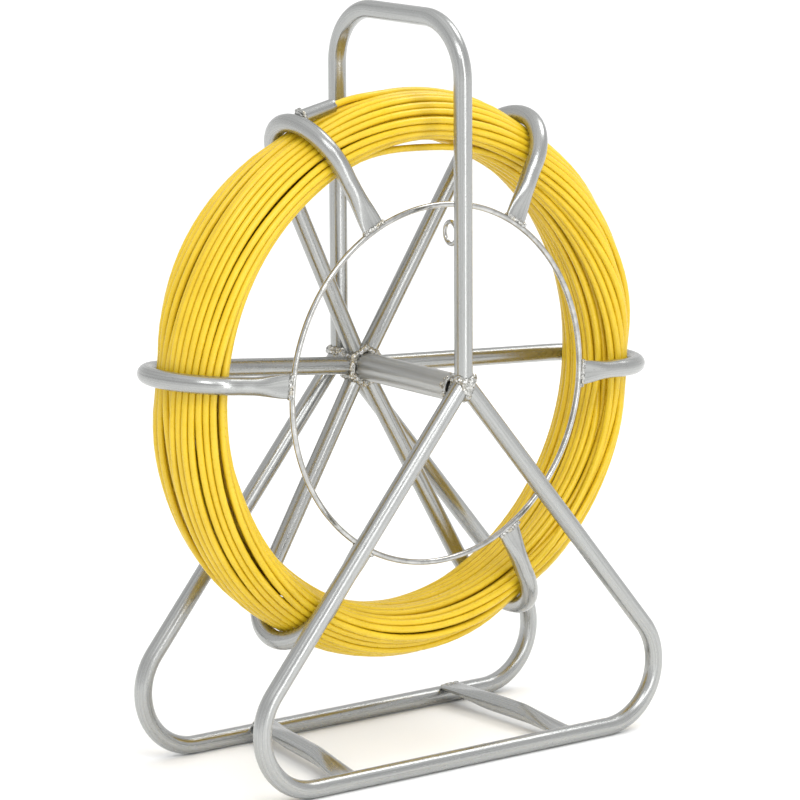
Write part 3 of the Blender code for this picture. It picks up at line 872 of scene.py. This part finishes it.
def make_ring():
    section = round_section(RING_WIRE_R, 20)
    profile = [(RING_R + a, RING_Y + b) for a, b in section]
    place("ring", lathe("ring", profile, 288, crease=60), wire_bright, "reel", "front_ring")


make_ring()


def socket_axes():
    """Butt, direction to the mouth, and two directions across the socket."""
    butt, lean = socket_line()
    v = lean.cross(Vector((0, 1, 0))).normalized()
    return butt, lean, v.cross(lean), v


def make_socket():
    """The stub of pipe that the rod's end is parked in, its mouth a little ragged."""
    butt, lean, u, v = socket_axes()
    sides, steps = 48, 18
    outside = [(SOCKET_R, i / steps) for i in range(steps)] + [(SOCKET_R - 0.0004, 1.0)]
    inside = [(SOCKET_BORE_R, 1.0), (SOCKET_BORE_R, 0.6), (SOCKET_BORE_R, 0.1)]
    bm = bmesh.new()
    grain = bm.verts.layers.float_vector.new(GRAIN)
    rings = []
    for r, f in outside + inside:
        ring = []
        for i in range(sides):
            a = 2 * pi * i / sides
            p = butt + lean * f * SOCKET_LENGTH + (u * cos(a) + v * sin(a)) * r
            if f > 0.95:
                p -= lean * max(0.0, noise.noise(p * 280)) * 0.0038
            ring.append(bm.verts.new(p))
        mark_grain(ring, grain, f * SOCKET_LENGTH)
        rings.append(ring)
    for ring, following in zip(rings, rings[1:]):
        bridge(bm, ring, following)
    bm.faces.new(rings[0])
    bm.faces.new(rings[-1])
    place("socket", to_mesh("socket", bm, 40), reel_paint, "reel", "rod_end_socket")


make_socket()


# ---- weld beads ---------------------------------------------------------------------
def seam(a_point, a_dir, a_r, b_point, b_dir, b_r, count):
    """Where tube B, running along b_dir, meets the skin of tube A: points round the joint."""
    a_dir, b_dir = Vector(a_dir).normalized(), Vector(b_dir).normalized()
    u = b_dir.orthogonal().normalized()
    v = b_dir.cross(u)
    found = []
    for i in range(count):
        t = 2 * pi * i / count
        o = Vector(b_point) + (u * cos(t) + v * sin(t)) * b_r
        d = o - Vector(a_point)
        d -= a_dir * d.dot(a_dir)
        g = b_dir - a_dir * b_dir.dot(a_dir)
        aa, bb, cc = g.dot(g), 2 * d.dot(g), d.dot(d) - a_r * a_r
        root = bb * bb - 4 * aa * cc
        if root < 0:
            continue
        found.append(o + b_dir * ((-bb - sqrt(root)) / (2 * aa)))
    return found


def weld(name, spots, body, nodes, seed, voxel=0.0005, rough=0.00035, keep=None):
    """A weld from overlapping blobs of molten metal; spots are (centre, radius)."""
    rng = np.random.default_rng(seed)
    bm = bmesh.new()
    for centre, radius in spots:
        size = radius * rng.uniform(0.86, 1.14)
        shift = Vector(rng.normal(0, radius * 0.12, 3))
        made = bmesh.ops.create_icosphere(bm, subdivisions=2, radius=size)["verts"]
        for v in made:
            v.co += Vector(centre) + shift
    work = bpy.data.objects.new("work", to_mesh("work", bm))
    collection.objects.link(work)
    remesh = work.modifiers.new("melt", 'REMESH')
    remesh.mode = 'VOXEL'
    remesh.voxel_size = voxel
    smooth = work.modifiers.new("flow", 'SMOOTH')
    smooth.factor = 0.5
    smooth.iterations = 3
    bpy.context.view_layer.update()
    graph = bpy.context.evaluated_depsgraph_get()
    mesh = bpy.data.meshes.new_from_object(work.evaluated_get(graph))
    bpy.data.objects.remove(work)
    offset = Vector((seed * 0.37, seed * 0.11, seed * 0.23))
    for v in mesh.vertices:
        wave = noise.noise(v.co * 700 + offset) + 0.5 * noise.noise(v.co * 1500 + offset)
        v.co += v.normal * wave * rough
        if keep is not None:
            keep(v)
    mesh.shade_smooth()
    mesh.name = name
    place(name, mesh, weld_bright, body, *nodes)


def make_apex_welds():
    """Handle foot, both legs and the axle end run together in one lump of weld."""
    for which, sign in (("front", -1), ("rear", 1)):
        y = sign * FRAME_Y
        spots = []
        for side in (-1, 1):
            down = Vector((side * LEG_SPREAD, 0, -1)).normalized()
            start = Vector((0, y, APEX_Z)) + down * 0.03
            for p in seam((0, y, APEX_Z), (0, 0, 1), TUBE_R, start, -down, TUBE_R, 36):
                if p.z > HANDLE_FOOT_Z - 0.006:
                    spots.append((p, 0.0037))
        # down the outer face of the mitre, under it and up the inner face
        for i in range(19):
            a = pi * i / 18
            z = APEX_Z - 0.003 - TUBE_R * 1.35 * sin(a)
            spots.append(((0, y + TUBE_R * cos(a), z), 0.0030))
        # the plug weld on the outer face
        plug_z = AXIS_Z + 0.0030
        for i in range(8):
            a = 2 * pi * i / 8
            spot = (0.0042 * cos(a), y + sign * (TUBE_R - 0.0016), plug_z + 0.0046 * sin(a))
            spots.append((spot, 0.0029))
        spots.append(((0, y + sign * (TUBE_R - 0.0012), plug_z), 0.0030))
        weld(which + "_apex_bead", spots, "stand", [which + "_apex_weld"], 3 + sign, rough=0.0007)


def make_axle_welds():
    for which, sign in (("front", -1), ("rear", 1)):
        spots = []
        for i in range(20):
            a = 2 * pi * i / 20
            spot = (0.0086 * cos(a), sign * (AXLE_HALF + 0.0007), AXIS_Z + 0.0086 * sin(a))
            spots.append((spot, 0.0019))

        def clear_of_hub(v, sign=sign):
            v.co.y = sign * max(abs(v.co.y), HUB_HALF + 0.0006)

        nodes = [which + "_axle_weld"]
        weld(which + "_axle_bead", spots, "stand", nodes, 9 + sign, keep=clear_of_hub)


def make_crossbar_welds():
    for side, (front_x, rear_x) in CROSSBAR_X.items():
        ends = (("front", front_x, -1, CROSSBAR_FRONT), ("rear", rear_x, 1, CROSSBAR_REAR))
        for end, x, sign, (y, z) in ends:
            spots = []
            for i in range(10):
                f = (i / 9 - 0.5) * 2
                spot = (x + f * 0.0088, y + sign * (0.0009 + 0.0004 * abs(f)), z + 0.0014)
                spots.append((spot, 0.0018))
            name = side + "_crossbar_" + end + "_weld"
            weld(side + "_foot_bar_" + end + "_bead", spots, "stand", [name], len(name) + sign)


def make_eye_weld():
    out = Vector((sin(EYE_TURN), cos(EYE_TURN), 0))
    spots = []
    for i in range(7):
        f = (i / 6 - 0.5) * 2
        foot = Vector((0, -FRAME_Y, EYE_Z + f * 0.0042))
        spots.append((foot + out * (TUBE_R + 0.0002 + 0.0004 * f * f), 0.0018))
    weld("eye_bead", spots, "stand", ["eye_weld"], 21)


def make_hub_welds():
    """Beads round the feet of the six spokes, before and behind."""
    rng = np.random.default_rng(8)
    front, rear = [], []
    for angle in ARM_ANGLES.values():
        radial = arm_frame(angle)[0]
        foot = AXIS + radial * 0.05 + Vector((0, SPOKE_HUB_Y, 0))
        for p in seam(AXIS, (0, 1, 0), HUB_R, foot, -radial, TUBE_R * 0.94, 26):
            outward = (p - AXIS - Vector((0, p.y, 0))).normalized()
            p = p + outward * rng.uniform(0.0010, 0.0032)
            (front if p.y < SPOKE_HUB_Y else rear).append((p, rng.uniform(0.0024, 0.0040)))
    angles = sorted(a % 360 for a in ARM_ANGLES.values())
    for a, b in zip(angles, angles[1:] + [angles[0] + 360]):
        radial = arm_frame((a + b) / 2)[0]
        for offset, group in ((-0.0062, front), (-0.0020, front), (0.0056, rear)):
            fill = AXIS + radial * (HUB_R + 0.0034) + Vector((0, SPOKE_HUB_Y + offset, 0))
            group.append((fill, 0.0040))
    weld("front_hub_bead", front, "reel", ["front_hub_weld"], 31, rough=0.0007)
    weld("rear_hub_bead", rear, "reel", ["rear_hub_weld"], 32, rough=0.0007)


SPATTER_DROPS = 26


def make_hub_spatter():
    """Stray drops of weld on the hub's front rim."""
    rng = np.random.default_rng(5)
    spots = []
    for _ in range(SPATTER_DROPS):
        a = radians(rng.uniform(95, 250))
        y = -HUB_HALF + rng.uniform(0.0008, 0.0055)
        spot = AXIS + Vector((cos(a) * HUB_R, y, sin(a) * HUB_R))
        spots.append((spot, rng.uniform(0.0009, 0.0017)))
    weld("hub_spatter", spots, "reel", [], 41, voxel=0.00025, rough=0.0001)


def make_ring_welds():
    for k, (which, angle) in enumerate(ARM_ANGLES.items()):
        radial, tangent = arm_frame(angle)
        spots = []
        for i in range(15):
            f = (i / 14 - 0.5) * 2
            spot = radial * (RING_R + 0.0028) + tangent * f * 0.0100 + Vector((0, RING_Y, AXIS_Z))
            spots.append((spot + Vector((0, -0.0012, 0)), 0.0022))
            spots.append((spot + Vector((0, 0.0012, 0)) - radial * 0.0006, 0.0018))
        weld(which + "_ring_bead", spots, "reel", ["ring_weld_" + which], 50 + k, rough=0.0006)


def make_socket_weld():
    butt, lean, u, v = socket_axes()
    spots = []
    for i in range(22):
        a = 2 * pi * i / 22
        spot = butt + (u * cos(a) + v * sin(a)) * (SOCKET_R + 0.0003) - lean * 0.0004
        spots.append((spot, 0.0019))
    for i in range(6):
        a = 2 * pi * i / 6
        spots.append((butt + (u * cos(a) + v * sin(a)) * 0.0032 - lean * 0.0008, 0.0024))
    weld("socket_bead", spots, "reel", ["socket_weld"], 61)


make_apex_welds()
make_axle_welds()
make_crossbar_welds()
make_eye_weld()
make_hub_welds()
make_hub_spatter()
make_ring_welds()
make_socket_weld()


# ---- studio -------------------------------------------------------------------------
def make_floor():
    bm = bmesh.new()
    bmesh.ops.create_grid(bm, x_segments=1, y_segments=1, size=40)
    mesh = to_mesh("floor", bm)
    m = Nodes("floor_paper", Roughness=0.9)
    base = m.ramp(m.noise(3, 3, 0.5), ((0.3, (0.90, 0.90, 0.895)), (0.7, (0.93, 0.93, 0.925))))
    mesh.materials.append(m.finish(base))
    floor = bpy.data.objects.new("floor", mesh)
    collection.objects.link(floor)


def make_world():
    """A white studio: bright towards the horizon and in the soft light overhead."""
    world = bpy.data.worlds.new("studio")
    bpy.context.scene.world = world
    world.use_nodes = True
    tree = world.node_tree
    coords = tree.nodes.new("ShaderNodeTexCoord")
    split = tree.nodes.new("ShaderNodeSeparateXYZ")
    ramp = tree.nodes.new("ShaderNodeValToRGB")
    levels = ((0.0, 1.0), (0.24, 0.90), (0.42, 0.78), (0.84, 0.90), (0.96, 1.1))
    stops = [(height, (level, level, level)) for height, level in levels]
    while len(ramp.color_ramp.elements) < len(stops):
        ramp.color_ramp.elements.new(0.5)
    for e, (where, colour) in zip(ramp.color_ramp.elements, stops):
        e.position = where
        e.color = (*colour, 1)
    tree.links.new(coords.outputs["Generated"], split.inputs[0])
    tree.links.new(split.outputs["Z"], ramp.inputs["Fac"])
    tree.links.new(ramp.outputs["Color"], tree.nodes["Background"].inputs["Color"])
    tree.nodes["Background"].inputs["Strength"].default_value = 1.0


def make_sun(name, azimuth, elevation, strength, softness):
    """Soft light from far off, which reaches the whole floor alike."""
    data = bpy.data.lights.new(name, 'SUN')
    data.energy = strength
    data.angle = radians(softness)
    light = bpy.data.objects.new(name, data)
    a, e = radians(azimuth), radians(elevation)
    towards = Vector((sin(a) * cos(e), -cos(a) * cos(e), sin(e)))
    light.visible_glossy = False
    light.rotation_mode = 'QUATERNION'
    light.rotation_quaternion = towards.to_track_quat('Z', 'Y')
    collection.objects.link(light)


def make_light(name, position, target, size, power):
    data = bpy.data.lights.new(name, 'AREA')
    data.shape = 'RECTANGLE'
    data.size, data.size_y = size
    data.energy = power
    light = bpy.data.objects.new(name, data)
    light.location = position
    light.rotation_mode = 'QUATERNION'
    light.rotation_quaternion = (Vector(target) - Vector(position)).to_track_quat('-Z', 'Y')
    collection.objects.link(light)


make_floor()
make_world()
make_sun("top", -20, 62, 0.90, 75)
make_sun("back", 150, 50, 0.40, 70)
make_light("key", (-1.2, -2.0, 2.6), (0, 0, 0.3), (0.9, 0.9), 13)
make_light("strip", (-0.10, -1.05, 0.75), (0, 0, 0.35), (0.16, 1.5), 3.6)
make_light("softbox", (1.45, -0.15, 2.25), (0, 0, 0.3), (0.9, 0.9), 13)

bpy.context.scene.view_settings.view_transform = 'Standard'
